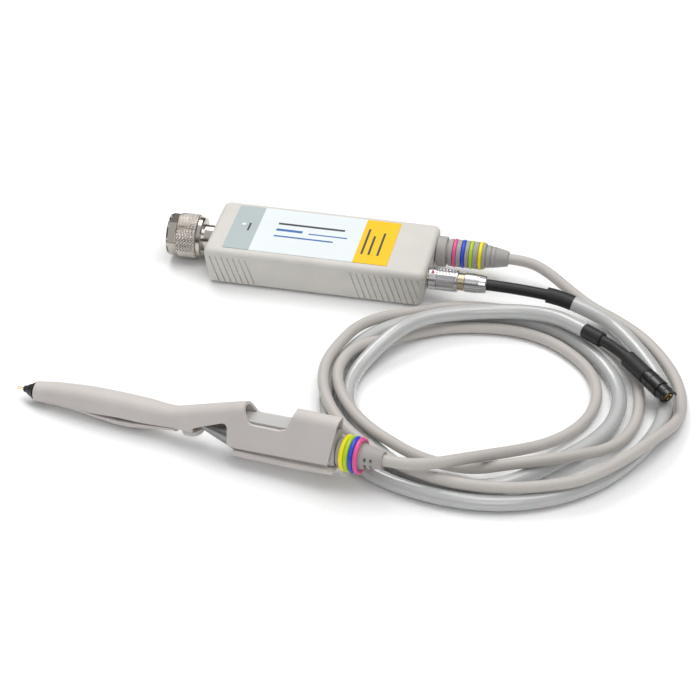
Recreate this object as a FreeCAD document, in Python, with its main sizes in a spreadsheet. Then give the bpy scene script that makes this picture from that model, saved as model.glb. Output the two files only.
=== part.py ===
import FreeCAD, Part
import math
import os
import Sketcher
from FreeCAD import Placement, Rotation, Vector

# Oscilloscope probe: compensation pod with an N-style plug, push-pull power plug, power lead,
# coiled signal cable and a hand-held differential probe head. Millimetres. The origin is the
# middle of the pod's flat base, X runs along the pod towards its cables, Z is up.

os.makedirs("parts", exist_ok=True)
doc = FreeCAD.newDocument("Probe")
sheet = doc.addObject("Spreadsheet::Sheet", "dims")

DIMENSIONS = {
    "pod_end": 50.0,
    "end_lean": 0.7,
    "pod_height": 18.2,
    "pod_half_width": 20.4,
    "parting_height": 6.0,
    "pod_wall": 1.6,
    "pod_flare": 5.15,
    "pod_tuck": 8.0,
    "plan_radius": 3.4,
    "top_radius": 2.6,
    "cavity_half_width": 17.6,
    "groove_width": 0.6,
    "groove_lean": 16.5,
    "port_height": 10.4,
    "signal_offset": 11.2,
    "port_radius": 5.1,
    "neck_radius": 6.0,
    "nut_radius": 10.1,
    "nut_bore": 7.6,
    "panel_half_width": 17.6,
    "panel_thickness": 0.25,
    "lens_radius": 1.3,
    "lens_along": -36.8,
    "lens_across": 2.5,
    "screw_left": -43.0,
    "screw_right": 31.0,
    "screw_across": 14.6,
    "screw_radius": 0.95,
    "screw_head": 2.0,
    "board_base": 7.9,
    "board_thickness": 1.6,
    "pod_ring_radius": 5.55,
    "pod_ring_section": 0.9,
    "head_ring_radius": 6.65,
    "head_ring_section": 0.98,
    "sleeve_radius": 4.85,
    "sleeve_bore": 4.0,
    "signal_diameter": 4.8,
    "power_diameter": 6.6,
    "thin_shrink_diameter": 5.0,
    "thick_shrink_diameter": 6.9,
    "thin_bend_radius": 280.0,
    "thin_bend_angle": 5.5,
    "thick_bend_radius": 60.0,
    "thick_bend_angle": 11.5,
    "plug_height": 10.7,
    "plug_radius": 3.9,
    "plug_core": 3.2,
    "neck_bend_radius": 59.0,
    "neck_bend_angle": 16.0,
    "handle_wall": 1.2,
    "wheel_radius": 4.6,
    "wheel_thickness": 2.2,
    "arm_split": 0.3,
    "pin_radius": 0.2,
    "rod_radius": 0.7,
}
for row, (name, size) in enumerate(DIMENSIONS.items(), start=1):
    sheet.set("A%d" % row, name)
    sheet.set("B%d" % row, str(size))
    sheet.setAlias("B%d" % row, name)
doc.recompute()

X_AXIS = Vector(1, 0, 0)
Y_AXIS = Vector(0, 1, 0)
Z_AXIS = Vector(0, 0, 1)
NODES = []


def value(entry):
    """A length given as a number or as an expression on the sheet."""
    if isinstance(entry, str):
        found = sheet.evalExpression(entry)
        return float(getattr(found, "Value", found))
    return float(entry)


def bind(thing, path, entry):
    if isinstance(entry, str):
        thing.setExpression(path, entry)


def node(thing, label, placement=None):
    thing.Label = label
    if placement is not None:
        thing.Placement = placement
    NODES.append(thing)
    return thing


def on_axis(x, y, z):
    return Placement(Vector(value(x), value(y), value(z)), Rotation())


def origin_feature(body, role):
    return [item for item in body.Origin.OriginFeatures if item.Role == role][0]


def new_body(name):
    return doc.addObject("PartDesign::Body", name)


def new_sketch(body, name, plane="XY_Plane", lift=None):
    sketch = body.newObject("Sketcher::SketchObject", name)
    sketch.AttachmentSupport = [(origin_feature(body, plane), "")]
    sketch.MapMode = "FlatFace"
    if lift is not None:
        sketch.AttachmentOffset = Placement(Vector(0, 0, value(lift)), Rotation())
        bind(sketch, "AttachmentOffset.Base.z", lift)
    return sketch


def hold_point(sketch, line, end, across, up):
    """Ties one line end to its two distances from the sketch origin."""
    for kind, entry, axis in (("DistanceX", across, -2), ("DistanceY", up, -1)):
        amount = value(entry)
        if abs(amount) < 1e-9:
            sketch.addConstraint(Sketcher.Constraint("PointOnObject", line, end, axis))
            continue
        index = sketch.addConstraint(Sketcher.Constraint(kind, -1, 1, line, end, amount))
        bind(sketch, "Constraints[%d]" % index, entry)


def polygon(sketch, corners):
    """A closed outline whose corners are each dimensioned from the origin."""
    places = [Vector(value(a), value(b), 0) for a, b in corners]
    count = len(corners)
    first = sketch.GeometryCount
    for i in range(count):
        sketch.addGeometry(Part.LineSegment(places[i], places[(i + 1) % count]), False)
    for i in range(count):
        sketch.addConstraint(
            Sketcher.Constraint("Coincident", first + i, 2, first + (i + 1) % count, 1))
    for i, (across, up) in enumerate(corners):
        hold_point(sketch, first + i, 1, across, up)


def rectangle(sketch, left, right, low, high):
    polygon(sketch, [(left, low), (right, low), (right, high), (left, high)])


def circle(sketch, across, up, radius):
    index = sketch.addGeometry(
        Part.Circle(Vector(value(across), value(up), 0), Z_AXIS, value(radius)), False)
    hold_point(sketch, index, 3, across, up)
    size = sketch.addConstraint(Sketcher.Constraint("Radius", index, value(radius)))
    bind(sketch, "Constraints[%d]" % size, radius)


def pad(body, sketch, length, reverse=False, taper=None):
    feature = body.newObject("PartDesign::Pad", sketch.Name + "_pad")
    feature.Profile = sketch
    feature.Length = value(length)
    bind(feature, "Length", length)
    feature.Reversed = reverse
    if taper is not None:
        feature.TaperAngle = value(taper)
        bind(feature, "TaperAngle", taper)
    sketch.Visibility = False
    doc.recompute()
    return feature


def pocket(body, sketch, length, reverse=False):
    feature = body.newObject("PartDesign::Pocket", sketch.Name + "_cut")
    feature.Profile = sketch
    feature.Length = value(length)
    bind(feature, "Length", length)
    feature.Reversed = reverse
    sketch.Visibility = False
    doc.recompute()
    return feature


def round_edges(body, base, radius, chosen):
    """Rounds the edges of the last feature that pass the test `chosen`."""
    names = ["Edge%d" % (i + 1) for i, edge in enumerate(base.Shape.Edges) if chosen(edge)]
    feature = body.newObject("PartDesign::Fillet", base.Name + "_round")
    feature.Base = (base, names)
    feature.Radius = value(radius)
    bind(feature, "Radius", radius)
    doc.recompute()
    return feature


def turned(label, profile, placement=None, keep=True):
    """A body revolved about its own X axis from (along, radius) corners."""
    body = new_body(label)
    sketch = new_sketch(body, label + "_profile")
    polygon(sketch, profile)
    spin = body.newObject("PartDesign::Revolution", label + "_turn")
    spin.Profile = sketch
    spin.ReferenceAxis = (sketch, ["H_Axis"])
    spin.Angle = 360.0
    sketch.Visibility = False
    doc.recompute()
    if keep:
        node(body, label, placement)
    elif placement is not None:
        body.Placement = placement
    return body


def block(label, left, right, near, far, low, high, placement=None, keep=True):
    """A box feature between six planes."""
    box = doc.addObject("Part::Box", label)
    box.Length = value(right) - value(left)
    box.Width = value(far) - value(near)
    box.Height = value(high) - value(low)
    box.Placement = on_axis(left, near, low)
    if placement is not None:
        box.Placement = placement.multiply(box.Placement)
    if keep:
        node(box, label)
    return box


def cylinder(label, radius, height, base, direction, placement=None):
    rod = doc.addObject("Part::Cylinder", label)
    rod.Radius = value(radius)
    bind(rod, "Radius", radius)
    rod.Height = value(height)
    bind(rod, "Height", height)
    rod.Placement = Placement(base, Rotation(Z_AXIS, direction))
    if placement is not None:
        rod.Placement = placement.multiply(rod.Placement)
    return rod


def fused(name, pieces):
    join = doc.addObject("Part::MultiFuse", name)
    join.Shapes = pieces
    doc.recompute()
    return join


def cut(name, base, tools, keep=None):
    """Takes one or more tools out of a base; `keep` is the node label if it is finished."""
    tool = tools[0] if len(tools) == 1 else fused(name + "_tools", tools)
    result = doc.addObject("Part::Cut", name)
    result.Base = base
    result.Tool = tool
    doc.recompute()
    if keep:
        node(result, keep)
    return result


def torus(label, ring_radius, section, along, placement):
    ring = doc.addObject("Part::Torus", label)
    ring.Radius1 = value(ring_radius)
    bind(ring, "Radius1", ring_radius)
    ring.Radius2 = value(section)
    bind(ring, "Radius2", section)
    turn = Placement(Vector(along, 0, 0), Rotation(Z_AXIS, X_AXIS))
    return node(ring, label, placement.multiply(turn))


def bent_rod(label, diameter, bend_radius, bend_angle, start):
    """A round rod that leaves `start` along X and bends towards its own -Y."""
    rod = doc.addObject("Part::Torus", label)
    rod.Radius1 = value(bend_radius)
    bind(rod, "Radius1", bend_radius)
    rod.Radius2 = value(diameter) / 2
    rod.setExpression("Radius2", diameter + " / 2")
    rod.Angle3 = value(bend_angle)
    bind(rod, "Angle3", bend_angle)
    centre = Placement(Vector(0, -value(bend_radius), 0),
                       Rotation(Z_AXIS, 90 - value(bend_angle)))
    node(rod, label, start.multiply(centre))
    swing = math.radians(value(bend_angle))
    reach = value(bend_radius)
    step = Placement(Vector(reach * math.sin(swing), -reach * (1 - math.cos(swing)), 0),
                     Rotation(Z_AXIS, -value(bend_angle)))
    return start.multiply(step)


# ---------------------------------------------------------------- pod shells

GROOVES = ((-42.9, 7, 2.7), (21.0, 12, 2.74))


def is_upright(edge):
    ends = [v.Point for v in edge.Vertexes]
    return len(ends) == 2 and abs(ends[0].z - ends[1].z) > 3


def pod_outline(body, label, height, upward):
    sketch = new_sketch(body, label + "_plan", lift="dims.parting_height")
    rectangle(sketch, "-dims.pod_end + dims.end_lean", "dims.pod_end - dims.end_lean",
              "-dims.pod_half_width", "dims.pod_half_width")
    taper = "dims.pod_flare" if upward else "-dims.pod_tuck"
    outer = pad(body, sketch, height, reverse=not upward, taper=taper)
    outer = round_edges(body, outer, "dims.plan_radius", is_upright)
    level = value("dims.pod_height") if upward else 0.0
    return round_edges(body, outer, "dims.top_radius", lambda edge: all(
        abs(v.Z - level) < 0.01 for v in edge.Vertexes))


def pod_cavity(body, label, depth, upward):
    sketch = new_sketch(body, label + "_room", lift="dims.parting_height")
    rectangle(sketch, "-dims.pod_end + dims.pod_wall", "dims.pod_end - dims.pod_wall",
              "-dims.cavity_half_width", "dims.cavity_half_width")
    return pocket(body, sketch, depth, reverse=upward)


def at_screws(sketch, radius):
    for side in ("", "-"):
        for along in ("dims.screw_left", "dims.screw_right"):
            circle(sketch, along, side + "dims.screw_across", radius)


def side_grooves(body, label, near_edge, far_edge):
    """Grip grooves: a slanted slot in both long sides, repeated along the pod."""
    lean = value("dims.groove_lean")
    for number, (start, count, pitch) in enumerate(GROOVES):
        for side in (1, -1):
            name = "%s_grip_%d_%s" % (label, number, "far" if side > 0 else "near")
            sketch = new_sketch(body, name, plane="YZ_Plane", lift=start)
            sketch.AttachmentOffset = Placement(Vector(0, 0, start), Rotation(X_AXIS, -lean))
            inner_low, low = near_edge
            inner_high, high = far_edge
            polygon(sketch, [(side * inner_low, low), (side * 24.0, low),
                             (side * 24.0, high), (side * inner_high, high)])
            slot = pocket(body, sketch, "dims.groove_width", reverse=True)
            rows = body.newObject("PartDesign::LinearPattern", name + "_rows")
            rows.Originals = [slot]
            rows.Direction = (origin_feature(body, "X_Axis"), [""])
            rows.Length = pitch * (count - 1)
            rows.Occurrences = count
            body.Tip = rows
            doc.recompute()


def wall_holes(body, label):
    left = new_sketch(body, label + "_plug_hole", plane="YZ_Plane", lift="-dims.pod_end - 1")
    circle(left, 0, "dims.port_height", "dims.neck_radius + 0.1")
    pocket(body, left, 4.0, reverse=True)
    right = new_sketch(body, label + "_cable_holes", plane="YZ_Plane", lift="dims.pod_end + 1")
    for side in ("", "-"):
        circle(right, side + "dims.signal_offset", "dims.port_height", "dims.port_radius")
    pocket(body, right, 4.0)


top = new_body("pod_top_shell")
pod_outline(top, "top", "dims.pod_height - dims.parting_height", True)
pod_cavity(top, "top", "dims.pod_height - dims.parting_height - dims.pod_wall", True)
bosses = new_sketch(top, "top_bosses", lift="dims.parting_height")
at_screws(bosses, 2.6)
pad(top, bosses, "dims.pod_height - dims.parting_height - 1")
holes = new_sketch(top, "top_boss_holes", lift="dims.parting_height")
at_screws(holes, "dims.screw_radius + 0.05")
pocket(top, holes, 7.5, reverse=True)
lens_hole = new_sketch(top, "top_lens_hole", lift="dims.pod_height + 1")
circle(lens_hole, "dims.lens_along", "dims.lens_across", "dims.lens_radius + 0.05")
pocket(top, lens_hole, 4.0)
wall_holes(top, "top")
side_grooves(top, "top", (19.81, 5.0), (20.74, 15.6))
node(top, "pod_top_shell")

bottom = new_body("pod_bottom_shell")
pod_outline(bottom, "bottom", "dims.parting_height", False)
pod_cavity(bottom, "bottom", "dims.parting_height - dims.pod_wall", False)
posts = new_sketch(bottom, "bottom_posts", lift=1.0)
at_screws(posts, 2.9)
pad(bottom, posts, "dims.parting_height - 1")
rests = new_sketch(bottom, "bottom_board_rests", lift=1.0)
for end in (1, -1):
    for side in (1, -1):
        circle(rests, 34.0 * end, 8.5 * side, 1.8)
pad(bottom, rests, "dims.board_base - 1")
shafts = new_sketch(bottom, "bottom_screw_holes", lift=-1.0)
at_screws(shafts, "dims.screw_radius + 0.1")
pocket(bottom, shafts, 8.0, reverse=True)
sinks = new_sketch(bottom, "bottom_head_sinks", lift=-1.0)
at_screws(sinks, "dims.screw_head + 0.1")
pocket(bottom, sinks, 2.65, reverse=True)
wall_holes(bottom, "bottom")
side_grooves(bottom, "bottom", (19.07, 0.9), (19.9, 7.2))
node(bottom, "pod_bottom_shell")

SCREW = [(0, 0), (0, "dims.screw_head"), (1.2, "dims.screw_head"), (1.2, "dims.screw_radius"),
         (11.4, "dims.screw_radius"), (12.2, 0.3), (12.2, 0)]
screws = []
for along in ("dims.screw_left", "dims.screw_right"):
    for side in (1, -1):
        place = Placement(Vector(value(along), side * value("dims.screw_across"), 0.4),
                          Rotation(X_AXIS, Z_AXIS))
        shank = turned("screw_%d" % len(screws), SCREW, place, keep=False)
        slots = [doc.addObject("Part::Box", "drive_%d_%d" % (len(screws), i)) for i in range(2)]
        for turn, slot in enumerate(slots):
            slot.Length, slot.Width, slot.Height = 2.6, 0.5, 1.6
            slot.Placement = Placement(place.Base, Rotation(Z_AXIS, 90 * turn)).multiply(
                Placement(Vector(-1.3, -0.25, -1.0), Rotation()))
        screws.append(cut("crossed_screw_%d" % len(screws), shank, slots))
group = doc.addObject("Part::Compound", "pod_screws")
group.Links = screws
doc.recompute()
node(group, "pod_screws")


def panel(label, left, right, window=False):
    body = new_body(label)
    sketch = new_sketch(body, label + "_plan", lift="dims.pod_height")
    rectangle(sketch, left, right, "-dims.panel_half_width", "dims.panel_half_width")
    if window:
        circle(sketch, "dims.lens_along", "dims.lens_across", "dims.lens_radius + 0.05")
    pad(body, sketch, "dims.panel_thickness")
    node(body, label)


panel("panel_grey", -42.0, -30.0, window=True)
panel("panel_white", -30.0, 17.0)
panel("panel_yellow", 17.0, 32.5)

upright = Placement(Vector(value("dims.lens_along"), value("dims.lens_across"), 12.0),
                    Rotation(X_AXIS, Z_AXIS))
turned("status_lens", [(0, 0), (0, 0.9), (4.0, "dims.lens_radius"), (6.6, "dims.lens_radius"),
                       (6.85, 0.8), (6.95, 0)], upright)

board = new_body("pod_circuit_board")
plan = new_sketch(board, "pod_board_plan", lift="dims.board_base")
rectangle(plan, -41.5, 39.5, -11.2, 11.2)
pad(board, plan, "dims.board_thickness")
node(board, "pod_circuit_board")
BOARD_TOP = value("dims.board_base + dims.board_thickness")
can = new_body("shield_can")
plan = new_sketch(can, "can_plan", lift="dims.board_base + dims.board_thickness")
rectangle(plan, -26.0, 12.0, -9.0, 9.0)
pad(can, plan, 5.0)
plan = new_sketch(can, "can_room", lift="dims.board_base + dims.board_thickness")
rectangle(plan, -25.6, 11.6, -8.6, 8.6)
pocket(can, plan, 4.6, reverse=True)
node(can, "shield_can")
block("status_led", "dims.lens_along - 1.6", "dims.lens_along + 1.6", 1.7, 3.3, BOARD_TOP, BOARD_TOP + 1.1)

# ------------------------------------------------------- N-style instrument plug

port = on_axis(0, 0, "dims.port_height")
flanged = turned("connector_blank", [
    (-46.2, 3.3), (-42.4, 3.3), (-42.4, 4.6), (-46.2, 4.6), (-46.2, 9.0), (-48.2, 9.0),
    (-48.2, "dims.neck_radius"), (-58.2, "dims.neck_radius"), (-58.2, 5.4), (-59.2, 5.4),
    (-59.2, 5.9), (-60.2, 5.9), (-60.2, 4.1), (-46.2, 4.1)], port, keep=False)
trims = [block("flange_trim_high", -48.5, -46.0, -10.0, 10.0, 16.5, 20.0, keep=False),
         block("flange_trim_low", -48.5, -46.0, -10.0, 10.0, 0.0, 1.8, keep=False)]
cut("connector_cut", flanged, trims, keep="n_connector_body")
nut_turn = turned("nut_blank", [
    (-70.6, "dims.nut_bore"), (-70.6, 8.9), (-70.1, 9.4), (-66.5, 9.4), (-66.3, "dims.nut_radius - 0.4"),
    (-65.9, "dims.nut_radius"), (-57.4, "dims.nut_radius"), (-57.0, 9.6), (-56.8, 9.2), (-55.2, 9.2),
    (-54.6, 8.6), (-54.6, 6.1), (-58.2, 6.1), (-58.2, 6.8), (-59.3, 6.8), (-59.3, 6.1), (-60.5, 6.1),
    (-60.5, "dims.nut_bore")], port, keep=False)
flats = []
for side in range(6):
    flat = doc.addObject("Part::Box", "nut_flat_%d" % side)
    flat.Length, flat.Width, flat.Height = 4.6, 12.0, 2.0
    lean = Placement(port.Base, Rotation(X_AXIS, 60 * side - 5.5))
    flat.Placement = lean.multiply(Placement(Vector(-71.0, -6.0, 8.15), Rotation()))
    flats.append(flat)
cut("n_nut_cut", nut_turn, flats, keep="n_coupling_nut")
contact = turned("contact_blank", [
    (-68.0, 3.5), (-68.0, 3.8), (-67.6, 4.0), (-46.4, 4.0), (-46.4, 3.5)], port, keep=False)
slits = []
for side in range(2):
    slit = doc.addObject("Part::Box", "contact_slit_%d" % side)
    slit.Length, slit.Width, slit.Height = 6.0, 0.4, 10.0
    lean = Placement(port.Base, Rotation(X_AXIS, 90 * side + 45))
    slit.Placement = lean.multiply(Placement(Vector(-68.5, -0.2, -5.0), Rotation()))
    slits.append(slit)
cut("contact_cut", contact, slits, keep="n_outer_contact")
turned("n_dielectric", [(-60.0, 0.85), (-60.0, 3.45), (-46.6, 3.45), (-46.6, 0.85)], port)
turned("n_centre_pin", [(-67.8, 0), (-67.4, 0.35), (-66.2, 0.8), (-41.8, 0.8), (-41.8, 0)], port)
turned("n_gasket", [(-60.55, 6.2), (-60.55, 7.4), (-61.6, 7.4), (-61.6, 6.2)], port)
turned("n_retaining_ring", [(-59.1, 5.45), (-59.1, 6.7), (-58.35, 6.7), (-58.35, 5.45)], port)

# ------------------------------------------------------------ signal cable exit

signal_port = on_axis(0, "dims.signal_offset", "dims.port_height")
POD_RINGS = (("pink", 58.4), ("blue", 62.3), ("green", 65.9), ("yellow", 70.0))
RING_SEAT = "dims.pod_ring_radius - dims.pod_ring_section - 0.05"
boot_outline = [(46.4, 2.75), (46.4, 6.0), (48.2, 6.0), (48.2, 5.0), (50.35, 5.0), (50.35, 6.6),
                (50.7, 6.85), (54.3, 6.85), (54.6, 6.6), (54.6, 5.3), (55.7, 5.3), (55.7, 6.1)]
for name, along in POD_RINGS:
    boot_outline += [(along - 1.0, 6.15), (along - 1.0, RING_SEAT), (along + 1.0, RING_SEAT),
                     (along + 1.0, 6.15)]
boot_outline += [(71.9, 5.9), (72.3, 5.5), (72.3, 4.7), (72.9, 4.7), (72.9, 5.2), (74.6, 5.0), (74.6, 4.4),
                 (75.1, 4.4), (75.1, 4.85), (76.6, 4.65), (76.6, 4.3), (77.0, 4.3), (77.0, 4.55),
                 (81.6, 3.6), (82.2, 3.4), (82.5, 3.1), (82.5, 2.75)]
turned("pod_cable_boot", boot_outline, signal_port)
for name, along in POD_RINGS:
    torus("pod_ring_" + name, "dims.pod_ring_radius", "dims.pod_ring_section", along, signal_port)
turned("input_coax", [(39.8, 0), (39.8, 0.5), (42.5, 0.5), (42.5, 1.5), (45.0, 1.5),
                      (45.0, "dims.signal_diameter / 2"), (82.5, "dims.signal_diameter / 2"),
                      (82.5, 0)], signal_port)

# ---------------------------------------------------------- push-pull power plug

power_port = on_axis(0, "-dims.signal_offset", "dims.port_height")
turned("power_socket", [
    (40.6, 3.65), (40.6, 4.6), (46.4, 4.6), (46.4, 6.0), (48.3, 6.0), (48.3, 5.0), (50.3, 5.0),
    (50.3, 3.65)], power_port)
turned("power_socket_insert", [(40.8, 0), (40.8, 3.6), (44.6, 3.6), (44.6, 0)], power_port)
turned("power_plug_body", [
    (45.0, 3.0), (45.0, 3.3), (45.3, 3.55), (50.6, 3.55), (50.6, 3.9), (66.6, 3.9), (66.6, 3.0),
    (70.2, 3.0), (70.2, 0), (49.0, 0), (49.0, 3.0)], power_port)
turned("power_plug_insert", [(45.2, 0), (45.2, 2.95), (49.0, 2.95), (49.0, 0)], power_port)
sleeve_outline = [(50.6, "dims.sleeve_bore"), (50.6, 4.5), (50.9, "dims.sleeve_radius"),
                  (54.4, "dims.sleeve_radius"), (54.4, 4.65), (62.4, 4.65), (62.4, "dims.sleeve_radius"),
                  (63.4, "dims.sleeve_radius"), (63.7, 4.6), (63.7, "dims.sleeve_bore")]
sleeve = turned("sleeve_blank", sleeve_outline, power_port, keep=False)
DOT_LEAN = Vector(0, -math.sin(math.radians(20)), math.cos(math.radians(20)))
DOT_BASE = power_port.Base + Vector(52.5, 0, 0)
well = cylinder("dot_well", 0.82, 3.0, DOT_BASE + DOT_LEAN * 3.2, DOT_LEAN)
cut("sleeve_cut", sleeve, [well], keep="power_plug_sleeve")
dot = cylinder("plug_alignment_dot", 0.8, 0.6, DOT_BASE + DOT_LEAN * 4.3, DOT_LEAN)
node(dot, "plug_alignment_dot")
turned("power_plug_collet", [
    (66.6, 3.05), (66.6, 4.0), (66.9, 4.3), (72.0, 4.3), (72.4, 4.15), (73.2, 4.15), (73.5, 4.1),
    (75.9, 3.85), (76.4, 3.5), (76.4, 0), (70.3, 0), (70.3, 3.05)], power_port)

lead_start = Placement(Vector(76.4, 0, 0), Rotation(X_AXIS, 45))
thin_end = bent_rod("lead_shrink_thin", "dims.thin_shrink_diameter", "dims.thin_bend_radius",
                    "dims.thin_bend_angle", power_port.multiply(lead_start))
thick_end = bent_rod("lead_shrink_thick", "dims.thick_shrink_diameter", "dims.thick_bend_radius",
                     "dims.thick_bend_angle", thin_end)

# -------------------------------------------------- push-pull plug on the far end

PLUG_ENTRY = Vector(123.4, -37.5, value("dims.plug_height"))
ENTRY_TURN = -34.0
chain = Placement(PLUG_ENTRY, Rotation(Z_AXIS, ENTRY_TURN))
turned("plug_cable_sleeve", [(0, 0), (0, 3.1), (0.3, 3.3), (9.3, 3.3), (9.8, 3.0), (9.8, 0)], chain)
neck_start = chain.multiply(on_axis(9.8, 0, 0))
neck_end = bent_rod("plug_neck", "dims.signal_diameter", "dims.neck_bend_radius",
                    "dims.neck_bend_angle", neck_start)
turned("plug_rear_sleeve", [
    (0, 0), (0, 3.2), (0.5, 3.65), (14.3, 3.65), (14.8, 3.4), (14.8, 0)], neck_end)
turned("scope_plug_grip", [
    (16.1, "dims.plug_core + 0.05"), (16.1, 3.6), (16.5, "dims.plug_radius"), (19.2, "dims.plug_radius"),
    (19.4, 3.7), (19.7, 3.7), (19.9, "dims.plug_radius"), (25.2, "dims.plug_radius"), (25.6, 3.6),
    (25.6, "dims.plug_core + 0.05")], neck_end)
barrel = turned("nose_blank", [
    (14.8, 0), (14.8, "dims.plug_core"), (25.9, "dims.plug_core"), (25.9, 3.4), (26.2, 3.55),
    (29.2, 3.55), (29.4, 3.35), (31.8, 3.35), (31.8, 2.8), (26.6, 2.8), (26.6, 0)],
    neck_end, keep=False)
half = block("nose_half", 29.6, 33.0, -5.0, 5.0, -5.0, 0.4, neck_end, keep=False)
cut("nose_cut", barrel, [half], keep="scope_plug_nose")
insert = turned("insert_blank", [(26.65, 0), (26.65, 2.75), (28.4, 2.75), (28.4, 0)], neck_end, keep=False)
pins = [cylinder("contact_pin_%d" % i, 0.3, 2.4, Vector(27.8, 1.5 * math.cos(math.pi * i / 2),
                 1.5 * math.sin(math.pi * i / 2)), X_AXIS, neck_end) for i in range(4)]
node(fused("contacts_join", [insert] + pins), "scope_plug_contacts")

# ----------------------------------------------------------------- probe head

HEAD_EXIT = Vector(58.1, -149.2, 15.0)
NOSE_RIM = Vector(-95.9, -120.4, 4.6)
line = HEAD_EXIT - NOSE_RIM
HEAD_YAW = math.degrees(math.atan2(line.y, line.x))
HEAD_TILT = math.degrees(math.asin(line.z / line.Length))
head = Placement(HEAD_EXIT, Rotation(Z_AXIS, HEAD_YAW).multiply(Rotation(Y_AXIS, -HEAD_TILT)))
RIM = -156.6

# Handle sections from the nose rim to the open rear: along, half width, crest half width,
# underside, top, corner.
SECTIONS = (
    (RIM, 4.25, 4.2, -4.2, 4.25, 3.9),
    (-144.0, 4.8, 4.7, -4.1, 5.8, 4.2),
    (-131.0, 5.4, 5.2, -5.2, 6.6, 4.5),
    (-122.0, 5.6, 5.3, -6.6, 6.7, 4.6),
    (-113.0, 5.6, 5.2, -7.2, 6.6, 4.6),
    (-103.0, 5.2, 4.9, -6.0, 6.2, 4.3),
    (-95.5, 4.9, 4.5, -4.9, 5.6, 4.0),
    (-91.5, 4.9, 4.4, -4.6, 5.8, 4.0),
    (-87.5, 5.2, 4.3, -4.7, 6.9, 4.0),
    (-80.0, 6.0, 4.2, -5.6, 9.2, 4.0),
    (-66.0, 7.7, 4.2, -8.4, 13.3, 4.0),
    (-59.0, 8.0, 4.2, -9.0, 15.1, 4.0),
    (-50.0, 8.0, 4.2, -9.0, 15.9, 4.0),
    (-34.0, 8.0, 4.2, -9.0, 16.3, 4.0),
    (-15.6, 8.0, 4.2, -9.0, 15.8, 4.0),
)


def section_wire(along, half_width, crest, low, high, corner):
    """A rounded trapezoid standing across the handle, narrower at its crest."""
    wide = half_width - corner
    narrow = crest - corner
    down = low + corner
    up = high - corner
    tip_in = math.degrees(math.atan2(wide - narrow, up - down))
    edges = []
    spots = ((narrow, up, tip_in, 90), (-narrow, up, 90, 180 - tip_in),
             (-wide, down, 180 - tip_in, 270), (wide, down, 270, 360 + tip_in))
    rims = []
    for y, z, begin, end in spots:
        arc = [Vector(along, y + corner * math.cos(math.radians(turn)),
                      z + corner * math.sin(math.radians(turn))) for turn in (begin, (begin + end) / 2, end)]
        rims.append(arc)
    for i, arc in enumerate(rims):
        edges.append(Part.Arc(arc[0], arc[1], arc[2]).toShape())
        edges.append(Part.LineSegment(arc[2], rims[(i + 1) % 4][0]).toShape())
    return Part.Wire(edges)


def eased_sections(pieces):
    """Extra sections on a smooth curve through the stated ones."""
    eased = []
    count = len(SECTIONS)
    for i in range(count - 1):
        first, second = SECTIONS[i], SECTIONS[i + 1]
        before, after = SECTIONS[max(i - 1, 0)], SECTIONS[min(i + 2, count - 1)]
        gap = second[0] - first[0]
        for step in range(pieces):
            f = step / pieces
            mixed = []
            for a, b, c, d in zip(before, first, second, after):
                rise_b = (c - a) / (second[0] - before[0]) * gap
                rise_c = (d - b) / (after[0] - first[0]) * gap
                mixed.append((2 * f ** 3 - 3 * f ** 2 + 1) * b + (f ** 3 - 2 * f ** 2 + f) * rise_b
                             + (3 * f ** 2 - 2 * f ** 3) * c + (f ** 3 - f ** 2) * rise_c)
            mixed[0] = first[0] + gap * f
            eased.append(tuple(mixed))
    eased.append(SECTIONS[-1])
    return eased


def lofted(inset, overrun):
    """The handle's outline loft, shrunk by `inset` and run past both ends by `overrun`."""
    stations = eased_sections(2)
    wires = []
    for number, (along, half_width, crest, low, high, corner) in enumerate(stations):
        shift = {0: -overrun, len(stations) - 1: overrun}.get(number, 0.0)
        wires.append(section_wire(along + shift, half_width - inset, crest - inset, low + inset,
                                  high - inset, corner - inset))
    return Part.makeLoft(wires, True, False)


def across(outline, half_span=12.0):
    """A cutter: an outline in the handle's side view carried right across it."""
    corners = [Vector(along, -half_span, up) for along, up in outline]
    face = Part.Face(Part.makePolygon(corners + corners[:1]))
    return face.extrude(Vector(0, 2 * half_span, 0))


def shaped(label, shape, placement=head):
    feature = doc.addObject("Part::Feature", label)
    feature.Shape = shape
    return node(feature, label, placement)


WALL = value("dims.handle_wall")
skin = lofted(0.0, 0.0).cut(lofted(WALL, 1.0))
nose_seam = [(-170.0, -20.0), (-170.0, -2.0), (-151.0, -1.9), (-131.0, -1.6), (-124.0, -1.2),
             (-116.0, -1.0), (-107.0, -1.4), (-98.0, -1.5), (-92.0, -1.2), (-81.5, -1.0), (-66.5, -1.0),
             (-66.5, -20.0)]
rear_floor = [(-66.5, -20.0), (-66.5, -2.4), (-62.0, -2.9), (-21.0, -2.2), (-10.0, -2.0), (-10.0, -20.0)]
side_notch = [(-82.0, -20.0), (-82.0, 0.6), (-80.9, 1.4), (-68.2, 6.4), (-66.8, 6.3), (-65.9, 5.2),
              (-65.9, -20.0)]
top_window = [(-60.4, 20.0), (-59.4, 15.6), (-56.4, 8.9), (-55.2, 8.2), (-42.6, 8.2), (-40.2, 9.0),
              (-38.9, 10.8), (-35.2, 20.0)]
rear_arch = [(-22.2, -5.0), (-17.3, 17.4), (-10.0, 20.0), (-10.0, -5.0)]
upper = skin
for outline in (nose_seam, rear_floor, side_notch, top_window, rear_arch):
    upper = upper.cut(across(outline))
shaped("handle_upper_shell", max(upper.Solids, key=lambda solid: solid.Volume))

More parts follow.
